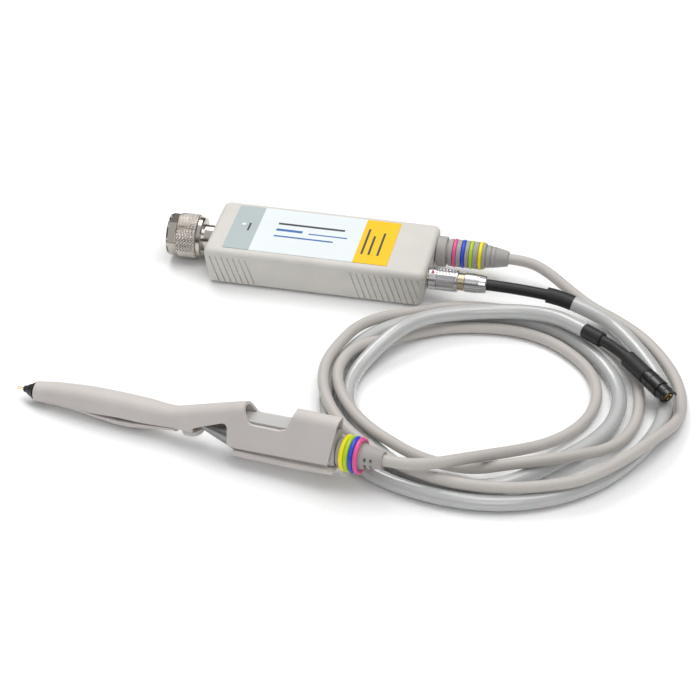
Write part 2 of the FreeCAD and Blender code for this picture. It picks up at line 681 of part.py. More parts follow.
LOWER_END = -90.7
low_zone = across([(-152.0, -20.0), (-152.0, -2.05), (-140.0, -1.9), (-131.0, -1.8), (-124.0, -2.3),
                   (-116.0, -2.7), (-107.0, -2.5), (-98.0, -2.1), (LOWER_END, -1.7), (LOWER_END, -20.0)])
lower = skin.common(low_zone)
shaped("handle_lower_shell", max(lower.Solids, key=lambda solid: solid.Volume))

plate = new_body("handle_base_plate")
plan = new_sketch(plate, "plate_side", plane="XZ_Plane", lift=-9.0)
polygon(plan, [(-62.5, -5.6), (-40.0, -6.0), (-19.5, -5.6), (-18.6, -5.2), (-18.6, -4.2),
               (-40.0, -4.4), (-63.0, -4.0), (-63.3, -4.8)])
pad(plate, plan, 18.0)
plan = new_sketch(plate, "plate_tongue", plane="XZ_Plane", lift=-6.2)
polygon(plan, [(-60.6, -5.8), (-22.0, -5.0), (-22.0, -3.2), (-60.6, -3.2)])
pad(plate, plan, 12.4)
node(plate, "handle_base_plate", head)

WHEEL_ALONG = -84.5
wheel = turned("wheel_blank", [
    (0, 0.9), (0, "dims.wheel_radius - 0.3"), (0.3, "dims.wheel_radius"),
    ("dims.wheel_thickness - 0.3", "dims.wheel_radius"), ("dims.wheel_thickness", "dims.wheel_radius - 0.3"),
    ("dims.wheel_thickness", 0.9)], head.multiply(Placement(Vector(WHEEL_ALONG, 0, -4.2), Rotation(X_AXIS, Z_AXIS))),
    keep=False)
teeth = []
TOOTH_COUNT = 20
for i in range(TOOTH_COUNT):
    spread = 2 * math.pi * i / TOOTH_COUNT
    rim_place = Vector(WHEEL_ALONG + 4.75 * math.cos(spread), 4.75 * math.sin(spread), -4.6)
    teeth.append(cylinder("wheel_tooth_%d" % i, 0.42, 3.2, rim_place, Z_AXIS, head))
cut("wheel_cut", wheel, teeth, keep="thumbwheel")
hub = cylinder("wheel_axle", 0.85, 2.7, Vector(WHEEL_ALONG, 0, -4.4), Z_AXIS, head)
node(hub, "wheel_axle")

rod = cylinder("span_rod", "dims.rod_radius", 63.0, Vector(-149.0, 0, -0.6), X_AXIS, head)
node(rod, "span_rod")
coax = cylinder("tip_coax", 0.9, 66.0, Vector(-147.0, 0, 1.1), X_AXIS, head)
node(coax, "tip_coax")

ARM_PIVOT = -153.2
CONE_BASE = RIM - 0.9
TIP_END = -163.0
for name, side in (("left", 1), ("right", -1)):
    cone = turned("cone_" + name, [
        (CONE_BASE, 0), (CONE_BASE, 3.7), (-158.6, 3.1), (-160.2, 2.35), (-161.4, 1.6), (-162.5, 1.35),
        (TIP_END, 0.9), (TIP_END, 0)], head, keep=False)
    tab_sides = sorted((side * 0.35, side * 1.6))
    tab = block("tab_" + name, CONE_BASE - 0.5, ARM_PIVOT + 1.0, tab_sides[0], tab_sides[1], -1.3, 1.3,
                head, keep=False)
    knuckle = cylinder("knuckle_" + name, 0.6, 3.4, Vector(ARM_PIVOT, side * 1.0, -1.7), Z_AXIS, head)
    arm = fused("arm_join_" + name, [cone, tab, knuckle])
    away = sorted((side * value("dims.arm_split") / 2, side * -5.0))
    other = block("arm_gap_" + name, -170.0, -150.0, away[0], away[1], -6.0, 6.0, head, keep=False)
    bore = cylinder("arm_bore_" + name, "dims.pin_radius + 0.05", 5.0,
                    Vector(TIP_END - 0.5, side * 0.55, 0), X_AXIS, head)
    cut("arm_cut_" + name, arm, [other, bore], keep="tip_arm_" + name)
    needle = turned("tip_pin_" + name, [(-166.4, 0), (-166.2, 0.14), (-165.8, "dims.pin_radius"),
                                        (-160.2, "dims.pin_radius"), (-160.2, 0)],
                    head.multiply(on_axis(0, side * 0.55, 0)))

boot = turned("boot_blank", [
    (-19.4, 0), (-19.4, 3.2), (-18.5, 3.2), (-18.5, 6.2), (-17.2, 6.2), (-17.2, 5.6), (-8.6, 5.6), (-8.6, 5.2),
    (-7.6, 5.0), (-1.0, 3.8), (0, 3.5), (0, 0)], head, keep=False)
notches = []
for i, (along, low, high) in enumerate(((-7.0, 0.8, 2.4), (-4.6, 0.7, 2.1), (-7.0, -3.2, -0.4),
                                        (-4.6, -2.9, -0.5))):
    for side in (1, -1):
        inner, outer = sorted((side * 3.0, side * 6.0))
        notches.append(block("boot_slot_%d_%d" % (i, side), along, along + 1.0, inner, outer, low, high,
                             head, keep=False))
cut("boot_cut", boot, notches, keep="head_boot")
for count, name in enumerate(("yellow", "green", "blue", "pink")):
    torus("head_ring_" + name, "dims.head_ring_radius", "dims.head_ring_section", -16.0 + 2.0 * count, head)


CASE_FRONT = -61.0


def case_end(low, high, inset):
    """The amplifier case's tapered end view."""
    corners = []
    for side, up in ((-1, low), (1, low), (1, high), (-1, high)):
        half_width = 4.75 - 0.225 * (up - 2.6) - inset
        corners.append((side * half_width, up))
    return corners


def case_half(label, outside, room):
    """Half of the amplifier case, open towards the other half."""
    body = new_body(label)
    sketch = new_sketch(body, label + "_end", plane="YZ_Plane", lift=CASE_FRONT)
    polygon(sketch, case_end(outside[0], outside[1], 0.0))
    pad(body, sketch, -19.4 - CASE_FRONT)
    sketch = new_sketch(body, label + "_room", plane="YZ_Plane", lift=CASE_FRONT + 1.2)
    polygon(sketch, case_end(room[0], room[1], 1.1))
    pocket(body, sketch, -20.6 - CASE_FRONT - 1.2, reverse=True)
    node(body, label, head)


case_half("amp_case_top", (2.6, 9.0), (2.0, 7.9))
case_half("amp_case_bottom", (-3.0, 2.6), (-1.8, 4.0))
front = Part.Wire(Part.makeCircle(1.9, Vector(-79.4, 0, -0.1), X_AXIS))
back = Part.Wire(Part.makeCircle(5.6, Vector(-64.2, 0, -2.8), X_AXIS))
stub = Part.makeCylinder(2.6, 3.2, Vector(-64.2, 0, -1.1), X_AXIS)
shaped("amp_nose", Part.makeLoft([front, back], True, True).fuse(stub))
block("amp_board", -59.0, -21.5, -4.0, 4.0, -1.75, 0.15, head)

# ---------------------------------------------------------------------- cables

SIGNAL_ROUTE = (
    (82.5, 11.2, 10.4), (91.2, 11.2, 10.4), (100.5, 7.6, 8.6), (111, 0.5, 5.3), (122, -7.4, 2.9),
    (134.5, -14.8, 2.4), (147, -25, 2.4), (157.5, -39, 2.4), (165.5, -54.5, 2.4), (169.3, -71, 2.4),
    (168.3, -87, 4.8), (162.5, -101.5, 8.6), (155, -115, 9.4), (146, -127.5, 9.4), (136, -138, 9.2),
    (123.5, -144, 9), (110, -148, 8.6), (96, -149.8, 8.6), (82, -149, 8.6), (68.5, -145.5, 8.8),
    (55.5, -139, 8.8), (43.5, -130, 8.8), (33, -119, 8.6), (24.8, -106, 9.4), (20.2, -92, 8.8),
    (19, -78, 8.4), (22, -64, 8.2), (26.3, -50.3, 7.8), (35, -37.5, 5.4), (47, -28, 3), (60, -20, 2.4),
    (75, -17, 2.4), (90.5, -17, 2.4), (105.5, -18.5, 2.4), (119.5, -23.5, 2.4), (131.5, -32, 2.4),
    (141.5, -43.5, 2.4), (148.5, -57, 2.4), (151.5, -71.5, 2.4), (152, -86, 2.4), (148.5, -99, 2.4),
    (141.5, -111, 4.5), (131.5, -121.5, 8.4), (119.5, -129, 9.7), (105.5, -133, 8.4), (92.5, -134, 4.5),
    (80, -132, 3), (68, -132, 5.5), (56.5, -129, 9), (45, -121, 9.3), (36, -110.5, 9), (29, -98.5, 8.6),
    (25, -86, 8.4), (26, -73.5, 8.4), (31.2, -61.8, 7.1), (40.5, -51.5, 3.6), (51, -43.5, 2.6),
    (62, -36.5, 2.4), (77, -32.5, 2.4), (93, -31.5, 2.4), (107.5, -35.7, 2.4), (118.5, -43.7, 2.4),
    (128, -54, 2.4), (133.5, -68, 2.4), (133.5, -83, 2.4), (128.5, -96.5, 2.4), (119.5, -109, 3.4),
    (108.5, -120.5, 6.6), (98, -131, 10.6), (88, -140, 13.6), (77.5, -147.4, 15.2),
)
POWER_ROUTE = (
    (125.4, -16.07, 5.54), (135, -22.2, 3.8), (143.5, -32, 3.3), (151.5, -44, 3.3), (159, -58, 3.3),
    (163, -73, 3.3), (162, -88.5, 3.3), (157.5, -103.5, 3.3), (150.5, -118, 3.3), (141.5, -131, 3.3),
    (130, -141.5, 3.3), (116, -149, 3.3), (101, -153, 3.3), (85.5, -153.5, 3.3), (70.5, -151, 3.3),
    (56.5, -146.5, 3.3), (44, -138.5, 3.3), (33.5, -127, 3.3), (26.5, -113, 3.3), (22.5, -98, 3.3),
    (22, -82.5, 3.3), (24.4, -67.5, 3.3), (30.2, -53, 3.3), (39.8, -41, 3.3), (53, -32.5, 3.3),
    (67, -27.5, 3.3), (82.5, -24.5, 3.3), (97.5, -25.3, 3.3), (111.5, -30, 3.3), (123.5, -39, 3.3),
    (133.5, -50, 3.3), (141, -63.5, 3.3), (144, -78.5, 3.3), (142, -93, 3.3), (135.5, -106.5, 3.3),
    (126, -118.5, 3.3), (116, -130, 3.3), (104, -140.8, 3.3), (90.5, -145.7, 3.3), (76, -144.5, 3.3),
    (63, -138.7, 3.3), (52, -129.5, 3.3), (42, -118, 3.3), (34.5, -105, 3.3), (30.5, -91, 3.3),
    (31.5, -77.5, 4), (36.8, -65, 6.6), (44, -53.5, 9.8), (52, -43, 10.2), (63.5, -35.5, 9.6),
    (76.5, -30.5, 9), (90, -28, 9.6), (103, -28, 10.2),
)
TANGENT_SHARE = 0.45


def cord_path(places):
    """Straight runs joined by tangent arcs, with the bend radii."""
    edges = []
    radii = []
    here = places[0]
    for before, corner, after in zip(places, places[1:], places[2:]):
        back = before - corner
        ahead = after - corner
        reach = TANGENT_SHARE * min(back.Length, ahead.Length)
        back.normalize()
        ahead.normalize()
        half_turn = (math.pi - back.getAngle(ahead)) / 2
        radius = reach / math.tan(half_turn)
        radii.append(radius)
        inward = back + ahead
        inward.normalize()
        enter = corner + back * reach
        leave = corner + ahead * reach
        crown = corner + inward * (radius / math.cos(half_turn) - radius)
        edges.append(Part.LineSegment(here, enter).toShape())
        edges.append(Part.Arc(enter, crown, leave).toShape())
        here = leave
    edges.append(Part.LineSegment(here, places[-1]).toShape())
    return Part.Wire(edges), radii


def cord(label, diameter, route):
    places = [Vector(*place) for place in route]
    wire, radii = cord_path(places)
    radius = value(diameter) / 2
    section = Part.Wire(Part.makeCircle(radius, places[0], places[1] - places[0]))
    pipe = wire.makePipeShell([section], True, False)
    shaped(label, pipe, Placement())
    expected = math.pi * radius * radius * wire.Length
    print(label, "length %.1f, bends %.1f to %.1f, volume over section times length %.4f" % (
        wire.Length, min(radii), max(radii), pipe.Volume / expected))


HEAD_DIRECTION = head.Rotation.multVec(X_AXIS)
leaving_head = HEAD_EXIT + HEAD_DIRECTION * 8.8
cord("signal_cable", "dims.signal_diameter",
     SIGNAL_ROUTE + (tuple(leaving_head), tuple(HEAD_EXIT)))
plug_direction = chain.Rotation.multVec(X_AXIS)
entering_plug = PLUG_ENTRY - plug_direction * 11.0
lead_direction = thick_end.Rotation.multVec(X_AXIS)
lead_begin = thick_end.Base
leaving_shrink = lead_begin + lead_direction * 11.0
cord("power_cable", "dims.power_diameter",
     (tuple(lead_begin), tuple(leaving_shrink)) + POWER_ROUTE[1:] + (tuple(entering_plug), tuple(PLUG_ENTRY)))

# ------------------------------------------------------------------- checking

doc.recompute()
problems = []
for thing in doc.Objects:
    if "Invalid" in thing.State or "Error" in thing.State:
        problems.append("%s: %s" % (thing.Name, thing.State))
for thing in NODES:
    if thing.Shape.isNull() or not thing.Shape.isValid():
        problems.append("%s: bad shape" % thing.Label)
if problems:
    raise RuntimeError("; ".join(problems))
for thing in NODES:
    shape = thing.Shape
    box = shape.BoundBox
    print("%-22s solids %d  x %.1f %.1f  y %.1f %.1f  z %.2f %.2f" % (
        thing.Label, len(shape.Solids), box.XMin, box.XMax, box.YMin, box.YMax, box.ZMin, box.ZMax))
    shape.exportStep("parts/%s.step" % thing.Label)
print(len(NODES), "nodes")
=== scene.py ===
import bpy
import math
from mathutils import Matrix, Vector


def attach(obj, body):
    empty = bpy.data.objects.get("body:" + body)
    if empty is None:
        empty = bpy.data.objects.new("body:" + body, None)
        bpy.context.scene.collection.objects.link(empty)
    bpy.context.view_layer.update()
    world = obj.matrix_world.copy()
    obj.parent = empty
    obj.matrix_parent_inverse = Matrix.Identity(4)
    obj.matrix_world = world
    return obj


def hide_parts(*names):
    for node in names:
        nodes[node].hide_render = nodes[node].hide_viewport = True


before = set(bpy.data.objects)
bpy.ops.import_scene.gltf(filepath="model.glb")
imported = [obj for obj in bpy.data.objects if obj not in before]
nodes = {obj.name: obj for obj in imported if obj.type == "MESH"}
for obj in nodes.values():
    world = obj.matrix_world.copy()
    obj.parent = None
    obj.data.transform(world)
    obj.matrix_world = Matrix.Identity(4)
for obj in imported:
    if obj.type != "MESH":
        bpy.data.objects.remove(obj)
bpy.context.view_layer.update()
scene = bpy.context.scene
MM = 0.001

# Camera: a long lens 35.5 degrees above the bench.
ELEVATION = 35.5
SWING = 12.08
camera_data = bpy.data.cameras.new("camera")
camera_data.lens = 128.57
camera_data.sensor_width = 36.0
camera_data.clip_start = 0.05
camera_data.clip_end = 30.0
camera = bpy.data.objects.new("camera", camera_data)
camera.location = (0.20835, -0.91559, 0.62571)
camera.rotation_euler = (math.radians(90 - ELEVATION), 0.0, math.radians(SWING))
scene.collection.objects.link(camera)
scene.camera = camera

# ------------------------------------------------------------------ materials


def mix_colour(tree, factor, first, second):
    mix = tree.nodes.new("ShaderNodeMix")
    mix.data_type = "RGBA"
    mix.inputs[6].default_value = (*first, 1.0)
    mix.inputs[7].default_value = (*second, 1.0)
    tree.links.new(factor, mix.inputs[0])
    return mix


def noise(tree, place, scale, detail=3.0, rough=0.55):
    texture = tree.nodes.new("ShaderNodeTexNoise")
    texture.inputs["Scale"].default_value = scale
    texture.inputs["Detail"].default_value = detail
    texture.inputs["Roughness"].default_value = rough
    tree.links.new(place, texture.inputs["Vector"])
    return texture.outputs["Fac"]


def span(tree, value, low, high, to_low=0.0, to_high=1.0):
    ramp = tree.nodes.new("ShaderNodeMapRange")
    ramp.inputs["From Min"].default_value = low
    ramp.inputs["From Max"].default_value = high
    ramp.inputs["To Min"].default_value = to_low
    ramp.inputs["To Max"].default_value = to_high
    tree.links.new(value, ramp.inputs["Value"])
    return ramp.outputs["Result"]


def darker(colour, share):
    return tuple(c * share for c in colour)


def surface(name, colour, rough=0.5, metal=0.0, grain=2500.0, grain_depth=0.02, cloud=60.0,
            shade=0.93, rough_spread=0.08, coat=0.0, subsurface=0.0, specular=0.5):
    """Moulded or machined finish: fine grain in the bump, slow drift in colour and gloss."""
    material = bpy.data.materials.new(name)
    material.use_nodes = True
    tree = material.node_tree
    shader = tree.nodes["Principled BSDF"]
    place = tree.nodes.new("ShaderNodeTexCoord").outputs["Object"]
    drift = span(tree, noise(tree, place, cloud), 0.3, 0.7)
    colours = mix_colour(tree, drift, darker(colour, shade), colour)
    fine = noise(tree, place, grain, detail=4.0, rough=0.6)
    speck = tree.nodes.new("ShaderNodeMix")
    speck.data_type = "RGBA"
    speck.blend_type = "MULTIPLY"
    speck.inputs[0].default_value = 1.0
    tree.links.new(colours.outputs[2], speck.inputs[6])
    flecks = mix_colour(tree, span(tree, fine, 0.3, 0.6), (0.95, 0.95, 0.95), (1.0, 1.0, 1.0))
    tree.links.new(flecks.outputs[2], speck.inputs[7])
    tree.links.new(speck.outputs[2], shader.inputs["Base Color"])
    gloss = span(tree, noise(tree, place, cloud * 5, detail=5.0), 0.25, 0.75,
                 max(rough - rough_spread, 0.02), min(rough + rough_spread, 1.0))
    tree.links.new(gloss, shader.inputs["Roughness"])
    bump = tree.nodes.new("ShaderNodeBump")
    bump.inputs["Strength"].default_value = 0.6
    bump.inputs["Distance"].default_value = grain_depth * MM
    tree.links.new(fine, bump.inputs["Height"])
    tree.links.new(bump.outputs["Normal"], shader.inputs["Normal"])
    shader.inputs["Metallic"].default_value = metal
    shader.inputs["Coat Weight"].default_value = coat
    shader.inputs["Coat Roughness"].default_value = 0.12
    shader.inputs["Subsurface Weight"].default_value = subsurface
    shader.inputs["Subsurface Scale"].default_value = 0.002
    shader.inputs["Specular IOR Level"].default_value = specular
    return material


def linear(red, green, blue):
    """A colour read in display values, as linear light."""
    return tuple((c / 255.0 / 12.92) if c <= 10 else ((c / 255.0 + 0.055) / 1.055) ** 2.4
                 for c in (red, green, blue))


POD_GREY = linear(212, 209, 203)
HEAD_GREY = linear(206, 200, 196)
pod_plastic = surface("pod_plastic", POD_GREY, rough=0.62, grain=2600, grain_depth=0.03, specular=0.35)
head_plastic = surface("head_plastic", HEAD_GREY, rough=0.6, grain=2400, grain_depth=0.03, specular=0.35)
case_plastic = surface("case_plastic", linear(190, 188, 186), rough=0.5, grain=1800, grain_depth=0.03)
boot_rubber = surface("boot_rubber", linear(170, 167, 163), rough=0.6, grain=2000, grain_depth=0.03,
                      specular=0.35, subsurface=0.05)
grey_film = surface("grey_film", linear(178, 189, 191), rough=0.32,
                    grain=3600, grain_depth=0.004, rough_spread=0.03)
white_film = surface("white_film", linear(229, 236, 238), rough=0.3,
                     grain=3600, grain_depth=0.004, rough_spread=0.03, shade=0.97)
yellow_film = surface("yellow_film", linear(250, 200, 0), rough=0.3,
                      grain=3600, grain_depth=0.004, rough_spread=0.03, shade=0.96)
signal_jacket = surface("signal_jacket", linear(192, 187, 182), rough=0.5, grain=1600, grain_depth=0.03,
                        cloud=35, shade=0.94, specular=0.4)
power_jacket = surface("power_jacket", linear(188, 189, 188), rough=0.2, grain=1200, grain_depth=0.015,
                       cloud=25, coat=0.8, subsurface=0.2, shade=0.95, rough_spread=0.05)
nickel = surface("nickel", (0.56, 0.52, 0.475), rough=0.15, metal=1.0, grain=1800, grain_depth=0.008,
                 cloud=90, rough_spread=0.07, shade=0.9)
chrome = surface("chrome", (0.66, 0.66, 0.67), rough=0.16, metal=1.0, grain=2000, grain_depth=0.006,
                 cloud=90, rough_spread=0.05, shade=0.92)
brass = surface("brass", (0.60, 0.52, 0.36), rough=0.2, metal=1.0, grain=2000, grain_depth=0.008, shade=0.88)
gold = surface("gold", (0.86, 0.62, 0.24), rough=0.2, metal=1.0, grain=2500, grain_depth=0.004, shade=0.92)
cast_metal = surface("cast_metal", (0.36, 0.36, 0.365), rough=0.36, metal=1.0, grain=1500, grain_depth=0.012,
                     shade=0.85)
steel = surface("steel", (0.52, 0.52, 0.53), rough=0.3, metal=1.0, grain=1800, grain_depth=0.01, shade=0.88)
tin = surface("tin", (0.62, 0.62, 0.60), rough=0.38, metal=1.0, grain=1200, grain_depth=0.02, shade=0.88)
solder_mask = surface("solder_mask", (0.02, 0.13, 0.05), rough=0.3, grain=900, grain_depth=0.03, coat=0.4)
dielectric = surface("dielectric", linear(236, 233, 224), rough=0.45, grain=1500, grain_depth=0.02,
                     subsurface=0.15)
gasket_rubber = surface("gasket_rubber", linear(38, 37, 36), rough=0.6, grain=1500, grain_depth=0.03)
shrink_tube = surface("shrink_tube", linear(24, 24, 26), rough=0.42, grain=1400, grain_depth=0.04,
                      cloud=120, shade=0.9)
thick_shrink = surface("thick_shrink", linear(26, 26, 28), rough=0.46, grain=1400, grain_depth=0.04,
                       cloud=120, shade=0.88)
plug_matte = surface("plug_matte", linear(31, 31, 33), rough=0.55, grain=1800, grain_depth=0.03, shade=0.85)
plug_gloss = surface("plug_gloss", linear(17, 17, 19), rough=0.32, grain=2600, grain_depth=0.006,
                     coat=0.15, shade=0.8, rough_spread=0.05)
arm_black = surface("arm_black", linear(22, 21, 21), rough=0.42, grain=2200, grain_depth=0.02, shade=0.8)
lens_clear = surface("lens_clear", linear(236, 240, 240), rough=0.12, grain=2000, grain_depth=0.004, coat=0.7,
                     shade=0.8, rough_spread=0.03)
dot_red = surface("dot_red", linear(165, 36, 38), rough=0.25, grain=2500, grain_depth=0.006, coat=0.5)


def silicone(name, colour):
    return surface(name, colour, rough=0.38, grain=1800, grain_depth=0.012, cloud=140, shade=0.9,
                   subsurface=0.12, coat=0.15)


RING_COLOURS = {
    "pink": silicone("ring_pink", linear(238, 92, 155)),
    "blue": silicone("ring_blue", linear(38, 78, 215)),
    "green": silicone("ring_green", linear(184, 220, 38)),
    "yellow": silicone("ring_yellow", linear(255, 240, 0)),
}

FINISHES = {
    pod_plastic: "pod_top_shell pod_bottom_shell",
    grey_film: "panel_grey",
    white_film: "panel_white",
    yellow_film: "panel_yellow",
    lens_clear: "status_lens",
    solder_mask: "pod_circuit_board amp_board",
    tin: "shield_can status_led power_socket_insert",
    steel: "pod_screws",
    nickel: "n_connector_body n_coupling_nut n_outer_contact n_retaining_ring power_socket",
    dielectric: "n_dielectric power_plug_insert",
    gold: "n_centre_pin tip_pin_left tip_pin_right scope_plug_contacts",
    gasket_rubber: "n_gasket",
    boot_rubber: "pod_cable_boot head_boot",
    chrome: "power_plug_sleeve power_plug_collet",
    brass: "power_plug_body",
    dot_red: "plug_alignment_dot",
    shrink_tube: "lead_shrink_thin",
    thick_shrink: "lead_shrink_thick",
    signal_jacket: "input_coax tip_coax signal_cable",
    power_jacket: "power_cable",
    plug_matte: "plug_cable_sleeve plug_neck plug_rear_sleeve",
    plug_gloss: "scope_plug_grip scope_plug_nose",
    head_plastic: "handle_upper_shell handle_lower_shell handle_base_plate thumbwheel",
    case_plastic: "amp_case_top amp_case_bottom",
    cast_metal: "amp_nose span_rod wheel_axle",
    arm_black: "tip_arm_left tip_arm_right",
}


def finish_node(name, material):
    mesh = nodes[name].data
    mesh.materials.clear()
    mesh.materials.append(material)


for material, names in FINISHES.items():
    for name in names.split():
        finish_node(name, material)
for colour, material in RING_COLOURS.items():
    for group in ("pod", "head"):
        finish_node("%s_ring_%s" % (group, colour), material)

# ---------------------------------------------------------------------- cords


def cable(name, route, diameter, material, taken):
    curve = bpy.data.curves.new(name, "CURVE")
    curve.dimensions = "3D"
    spline = curve.splines.new("NURBS")
    spline.points.add(len(route) - 1)
    for point, place in zip(spline.points, route):
        point.co = (place[0] * MM, place[1] * MM, place[2] * MM, 1.0)
    spline.order_u = 3
    spline.use_endpoint_u = True
    spline.resolution_u = 8
    curve.bevel_depth = diameter / 2
    curve.bevel_resolution = 8
    curve.use_fill_caps = True
    curve.materials.append(material)
    piece = bpy.data.objects.new(name, curve)
    scene.collection.objects.link(piece)
    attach(piece, "probe")
    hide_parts(taken)
    return piece


SIGNAL_ROUTE = (
    (82.5, 11.2, 10.4), (91.2, 11.2, 10.4), (100.5, 7.6, 8.6), (111, 0.5, 5.3), (122, -7.4, 2.9),
    (134.5, -14.8, 2.4), (147, -25, 2.4), (157.5, -39, 2.4), (165.5, -54.5, 2.4), (169.3, -71, 2.4),
    (168.3, -87, 4.8), (162.5, -101.5, 8.6), (155, -115, 9.4), (146, -127.5, 9.4), (136, -138, 9.2),
    (123.5, -144, 9), (110, -148, 8.6), (96, -149.8, 8.6), (82, -149, 8.6), (68.5, -145.5, 8.8),
    (55.5, -139, 8.8), (43.5, -130, 8.8), (33, -119, 8.6), (24.8, -106, 9.4), (20.2, -92, 8.8),
    (19, -78, 8.4), (22, -64, 8.2), (26.3, -50.3, 7.8), (35, -37.5, 5.4), (47, -28, 3), (60, -20, 2.4),
    (75, -17, 2.4), (90.5, -17, 2.4), (105.5, -18.5, 2.4), (119.5, -23.5, 2.4), (131.5, -32, 2.4),
    (141.5, -43.5, 2.4), (148.5, -57, 2.4), (151.5, -71.5, 2.4), (152, -86, 2.4), (148.5, -99, 2.4),
    (141.5, -111, 4.5), (131.5, -121.5, 8.4), (119.5, -129, 9.7), (105.5, -133, 8.4), (92.5, -134, 4.5),
    (80, -132, 3), (68, -132, 5.5), (56.5, -129, 9), (45, -121, 9.3), (36, -110.5, 9), (29, -98.5, 8.6),
    (25, -86, 8.4), (26, -73.5, 8.4), (31.2, -61.8, 7.1), (40.5, -51.5, 3.6), (51, -43.5, 2.6),
    (62, -36.5, 2.4), (77, -32.5, 2.4), (93, -31.5, 2.4), (107.5, -35.7, 2.4), (118.5, -43.7, 2.4),
    (128, -54, 2.4), (133.5, -68, 2.4), (133.5, -83, 2.4), (128.5, -96.5, 2.4), (119.5, -109, 3.4),
    (108.5, -120.5, 6.6), (98, -131, 10.6), (88, -140, 13.6), (77.5, -147.4, 15.2),
    (66.7, -150.8, 15.6), (58.1, -149.2, 15.0),
)
POWER_ROUTE = (
    (114.8, -13.8, 7.8), (125.4, -16.1, 5.6), (135, -22.2, 3.8), (143.5, -32, 3.3), (151.5, -44, 3.3),
    (159, -58, 3.3), (163, -73, 3.3), (162, -88.5, 3.3), (157.5, -103.5, 3.3), (150.5, -118, 3.3),
    (141.5, -131, 3.3), (130, -141.5, 3.3), (116, -149, 3.3), (101, -153, 3.3), (85.5, -153.5, 3.3),
    (70.5, -151, 3.3), (56.5, -146.5, 3.3), (44, -138.5, 3.3), (33.5, -127, 3.3), (26.5, -113, 3.3),
    (22.5, -98, 3.3), (22, -82.5, 3.3), (24.4, -67.5, 3.3), (30.2, -53, 3.3), (39.8, -41, 3.3),
    (53, -32.5, 3.3), (67, -27.5, 3.3), (82.5, -24.5, 3.3), (97.5, -25.3, 3.3), (111.5, -30, 3.3),
    (123.5, -39, 3.3), (133.5, -50, 3.3), (141, -63.5, 3.3), (144, -78.5, 3.3), (142, -93, 3.3),
    (135.5, -106.5, 3.3), (126, -118.5, 3.3), (116, -130, 3.3), (104, -140.8, 3.3), (90.5, -145.7, 3.3),
    (76, -144.5, 3.3), (63, -138.7, 3.3), (52, -129.5, 3.3), (42, -118, 3.3), (34.5, -105, 3.3),
    (30.5, -91, 3.3), (31.5, -77.5, 4), (36.8, -65, 6.6), (44, -53.5, 9.8), (52, -43, 10.2),
    (63.5, -35.5, 9.6), (76.5, -30.5, 9), (90, -28, 9.6), (103, -28, 10.2), (114.3, -31.3, 10.7),
    (123.4, -37.5, 10.7),
)
signal = cable("signal_lead", SIGNAL_ROUTE, 0.0048, signal_jacket, "signal_cable")
power = cable("power_lead", POWER_ROUTE, 0.0066, power_jacket, "power_cable")

# -------------------------------------------------------------- modelled detail


def mesh_piece(name, points, faces, material, body, smooth=True):
    mesh = bpy.data.meshes.new(name)
    mesh.from_pydata(points, [], faces)
    mesh.validate()
    mesh.update()
    for polygon in mesh.polygons:
        polygon.use_smooth = smooth
    mesh.materials.append(material)
    piece = bpy.data.objects.new(name, mesh)
    scene.collection.objects.link(piece)
    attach(piece, body)
    return piece


def ring_mesh(name, stations, around, reach, centre, material, body, taken):
    """A closed turned piece along X; reach(along, radius, turn) gives the cut surface."""
    points = []
    for along, radius in stations:
        for j in range(around):
            turn = 2 * math.pi * j / around
            here = reach(along, radius, turn)
            points.append((along * MM, (centre[0] + here * math.cos(turn)) * MM,
                           (centre[1] + here * math.sin(turn)) * MM))
    faces = []
    count = len(stations)
    for i in range(count):
        for j in range(around):
            k = (j + 1) % around
            n = (i + 1) % count
            faces.append((i * around + j, n * around + j, n * around + k, i * around + k))
    piece = mesh_piece(name, points, faces, material, body)
    piece.data.set_sharp_from_angle(angle=math.radians(32))
    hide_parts(taken)
    return piece


NUT_CENTRE = (0.0, 10.4)
NUT_SIDES = 336
NUT_FRONT = [(-60.5, 6.15), (-60.5, 7.6), (-70.6, 7.6), (-70.6, 8.9), (-70.1, 9.4), (-70.05, 9.4),
             (-66.55, 9.4), (-66.5, 9.4), (-66.3, 9.6), (-66.0, 9.85)]
NUT_REAR = [(-57.2, 9.8), (-57.0, 9.6), (-56.8, 9.2), (-55.2, 9.2), (-54.6, 8.6), (-54.6, 6.15)]
NUT_SKIN = 9.0
KNURL_START = -65.9
KNURL_END = -57.3
KNURL_STEP = 0.16
KNURL_STATIONS = 54
KNURL_BLANK = 9.9
KNURL_RADIUS = 10.0
KNURL_ROOT = 9.6
KNURL_DEPTH = 0.5
KNURL_FADE = 0.4
KNURL_LINES = 44
KNURL_PHASE = 70
HEX_START = -70.1
HEX_END = -66.5
HEX_FLAT = 8.15
HEX_TURN = math.radians(54.5)


def nut_reach(along, radius, turn):
    """Hexagon in front, cut diamond knurl on the grip; the bore, inside NUT_SKIN, stays round."""
    if radius < NUT_SKIN:
        return radius
    if KNURL_START <= along <= KNURL_END:
        fade = max(0.0, min(1.0, (along - KNURL_START) / KNURL_FADE, (KNURL_END - along) / KNURL_FADE))
        pitch = 2 * math.pi * KNURL_RADIUS / KNURL_LINES
        first = abs(((turn * KNURL_RADIUS + along + KNURL_PHASE) / pitch) % 1.0 - 0.5) * 2
        second = abs(((turn * KNURL_RADIUS - along + KNURL_PHASE) / pitch) % 1.0 - 0.5) * 2
        return KNURL_ROOT + KNURL_DEPTH * fade * min(first, second)
    if HEX_START <= along <= HEX_END:
        side = (turn - HEX_TURN) % (math.pi / 3) - math.pi / 6
        return min(radius, HEX_FLAT / math.cos(side))
    return radius


knurl_line = [(KNURL_START + KNURL_STEP * i, KNURL_BLANK) for i in range(KNURL_STATIONS)]
ring_mesh("knurled_nut", NUT_FRONT + knurl_line + NUT_REAR, NUT_SIDES, nut_reach, NUT_CENTRE, nickel,
          "coupling_nut", "n_coupling_nut")

